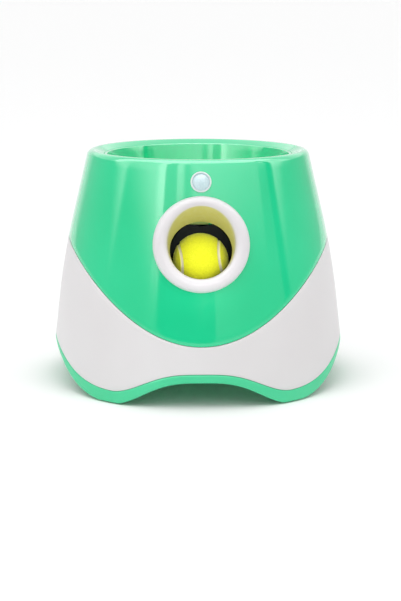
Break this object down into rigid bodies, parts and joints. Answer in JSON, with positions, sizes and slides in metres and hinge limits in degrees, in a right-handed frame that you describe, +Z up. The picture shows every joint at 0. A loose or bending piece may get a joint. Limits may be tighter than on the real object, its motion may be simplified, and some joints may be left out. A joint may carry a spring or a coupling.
{
  "type": "automatic dog ball launcher",
  "caption": "Cone-shaped automatic ball launcher for dogs: top bowl, chute, spring striker with geared motor drive, angled launch ring, motion sensor and rear controls.",
  "frame": {"origin": "on the ground under the middle of the housing", "axes": "+Z up, -Y the way the launch ring faces, +X to the right seen from the front"},
  "size_m": [0.2712, 0.2976, 0.215],
  "materials": {
    "shell_green": "glossy moulded ABS",
    "base_green": "glossy moulded ABS",
    "shell_white": "glossy moulded ABS",
    "ring_white": "satin-gloss moulded ABS",
    "chamber_grey": "plain moulded ABS",
    "ball_felt": "yellow felt over rubber",
    "sensor_trim": "silvered plastic",
    "lens": "milky translucent polyethylene",
    "board_green": "fibreglass circuit board",
    "black_plastic": "black moulded plastic",
    "striker_black": "glass-filled nylon",
    "rubber_black": "moulded rubber",
    "steel": "plain steel",
    "plate_steel": "zinc-plated steel sheet",
    "brass": "sintered bronze",
    "gear_nylon": "natural acetal",
    "motor_can": "drawn steel can",
    "panel_white": "satin moulded ABS",
    "button_white": "satin moulded ABS",
    "light_clear": "clear diffused plastic",
    "cell_jacket": "printed foil jacket, plain"
  },
  "bodies": {
    "housing": {"upper_shell": "shell_green", "lower_shell": "shell_white", "base": "base_green", "foot_pads": "rubber_black", "bowl": "shell_green", "launch_ring": "ring_white", "chamber_left": "chamber_grey", "chamber_right": "chamber_grey", "sensor_ring": "sensor_trim", "sensor_lens": "lens", "sensor_board": "board_green", "spring_left": "steel", "spring_right": "steel", "frame_plate_left": "plate_steel", "frame_plate_right": "plate_steel", "frame_spacers": "steel", "striker_guide": "gear_nylon", "drive_bushes": "brass", "idler_axle": "steel", "gear_cover": "chamber_grey", "gear_cover_posts": "steel", "motor": "motor_can", "limit_switch": "black_plastic", "control_panel": "panel_white", "control_board": "board_green", "indicator_lights": "light_clear", "power_inlet": "black_plastic", "main_board": "board_green", "board_posts": "chamber_grey", "buzzer": "black_plastic", "battery_cells": "cell_jacket", "battery_contacts": "steel", "chamber_screws": "steel", "base_screws": "steel", "frame_screws": "steel"},
    "ball": {"ball": "ball_felt"},
    "striker": {"striker": "striker_black", "striker_facing": "rubber_black"},
    "sector_drive": {"drive_shaft": "steel", "sector_gear": "gear_nylon", "drive_wheel": "gear_nylon"},
    "idler": {"idler_gear": "gear_nylon"},
    "motor_rotor": {"motor_pinion": "brass"},
    "power_button": {"power_button": "button_white"},
    "range_button": {"range_button": "button_white"},
    "battery_door": {"battery_door": "base_green"}
  },
  "joints": [
    {"name": "sector_turn", "type": "hinge", "parent": "housing", "child": "sector_drive", "pos_m": [0, -0.01914, 0.09661], "axis": [1, 0, 0], "range_deg": [-196.44, 0]},
    {"name": "striker_draw", "type": "slide", "parent": "housing", "child": "striker", "axis": [0, 0.848, -0.5299], "range_m": [-0.0362, 0.0001], "deforming": ["spring_left", "spring_right"]},
    {"name": "idler_turn", "type": "hinge", "parent": "housing", "child": "idler", "pos_m": [0, 0.00735, 0.11069], "axis": [1, 0, 0], "range_deg": [-1, 786.77]},
    {"name": "motor_turn", "type": "hinge", "parent": "housing", "child": "motor_rotor", "pos_m": [0, 0.02683, 0.11519], "axis": [1, 0, 0], "range_deg": [-3148.08, 5]},
    {"name": "ball_launch", "type": "slide", "parent": "housing", "child": "ball", "axis": [0, -0.848, 0.5299], "range_m": [0, 0.12]},
    {"name": "power_press", "type": "slide", "parent": "housing", "child": "power_button", "axis": [0.1438, -0.9623, -0.2311], "range_m": [0, 0.0012], "stiffness_N_per_m": 400, "springref_m": -0.0008},
    {"name": "range_press", "type": "slide", "parent": "housing", "child": "range_button", "axis": [-0.1438, -0.9623, -0.2311], "range_m": [0, 0.0012], "stiffness_N_per_m": 400, "springref_m": -0.0008},
    {"name": "door_slide", "type": "slide", "parent": "housing", "child": "battery_door", "axis": [0, 1, 0], "range_m": [0, 0.07]}
  ],
  "couplings": [
    {"joint": "striker_draw", "follows": "sector_turn", "m_per_rad": 0.0105},
    {"joint": "idler_turn", "follows": "sector_turn", "ratio": -4},
    {"joint": "motor_turn", "follows": "sector_turn", "ratio": 16}
  ]
}
